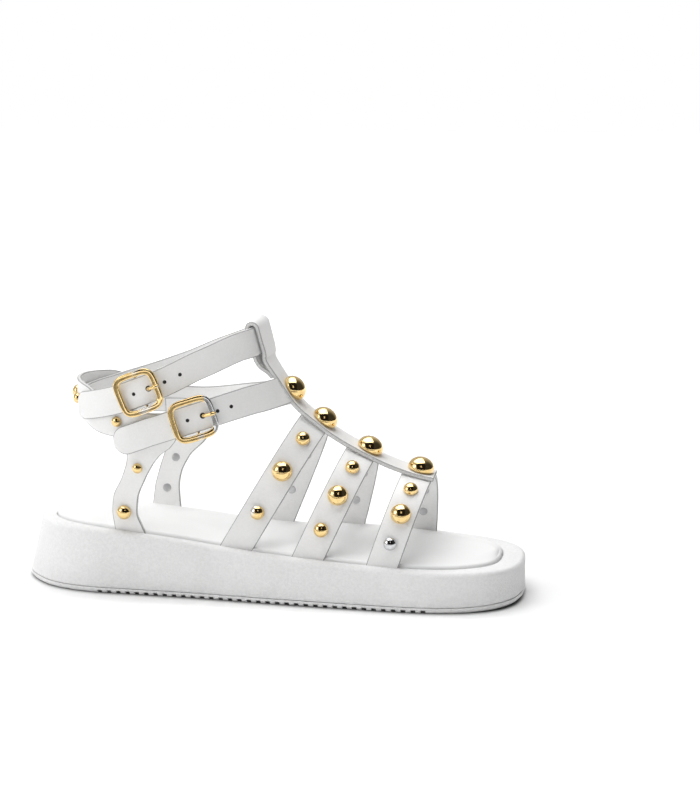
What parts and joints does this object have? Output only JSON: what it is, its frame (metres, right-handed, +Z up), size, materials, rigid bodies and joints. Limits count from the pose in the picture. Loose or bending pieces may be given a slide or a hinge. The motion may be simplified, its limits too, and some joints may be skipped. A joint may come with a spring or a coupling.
{
  "type": "flatform sandal",
  "caption": "White leather flatform sandal, right shoe, with a studded T bar, studded instep bands, a studded heel piece and buckled ankle straps",
  "frame": {"origin": "on the floor under the middle of the shoe", "axes": "+X runs from heel to toe, +Y to the inner side of the foot, +Z up"},
  "size_m": [0.25, 0.0839, 0.1332],
  "materials": {
    "white_leather": "smooth, semi-matt, cut edges painted pale grey",
    "insole_leather": "soft, matt",
    "foam": "fine matt grain",
    "outsole_rubber": "matt, toothed underside",
    "gold_metal": "polished, gold-coloured",
    "silver_metal": "polished"
  },
  "bodies": {
    "root": {"outsole": "outsole_rubber", "midsole": "foam", "insole": "insole_leather", "upper": "white_leather", "ankle_strap_upper": "white_leather", "buckle_frame_upper": "gold_metal", "buckle_prong_upper": "gold_metal", "buckle_frame_lower": "gold_metal", "buckle_prong_lower": "gold_metal", "dome_1": "gold_metal", "dome_2": "gold_metal", "dome_3": "gold_metal", "dome_4": "gold_metal", "stud_rear_outer_high": "gold_metal", "stud_rear_outer_middle": "gold_metal", "stud_rear_outer_low": "gold_metal", "stud_rear_inner_high": "gold_metal", "stud_rear_inner_middle": "gold_metal", "stud_rear_inner_low": "gold_metal", "stud_middle_outer_high": "gold_metal", "stud_middle_outer_middle": "gold_metal", "stud_middle_outer_low": "gold_metal", "stud_middle_inner_high": "gold_metal", "stud_middle_inner_middle": "gold_metal", "stud_middle_inner_low": "gold_metal", "stud_toe_outer_high": "gold_metal", "stud_toe_outer_middle": "gold_metal", "stud_toe_outer_low": "silver_metal", "stud_toe_inner_high": "gold_metal", "stud_toe_inner_middle": "gold_metal", "stud_toe_inner_low": "gold_metal", "stud_heel_outer_wall": "gold_metal", "stud_heel_outer_back": "gold_metal", "stud_heel_back": "gold_metal", "stud_heel_inner_back": "gold_metal", "stud_heel_inner_wall": "gold_metal", "stud_leg_outer_high": "gold_metal", "stud_leg_outer_low": "gold_metal", "stud_leg_inner_high": "gold_metal", "stud_leg_inner_low": "gold_metal"}
  },
  "joints": []
}
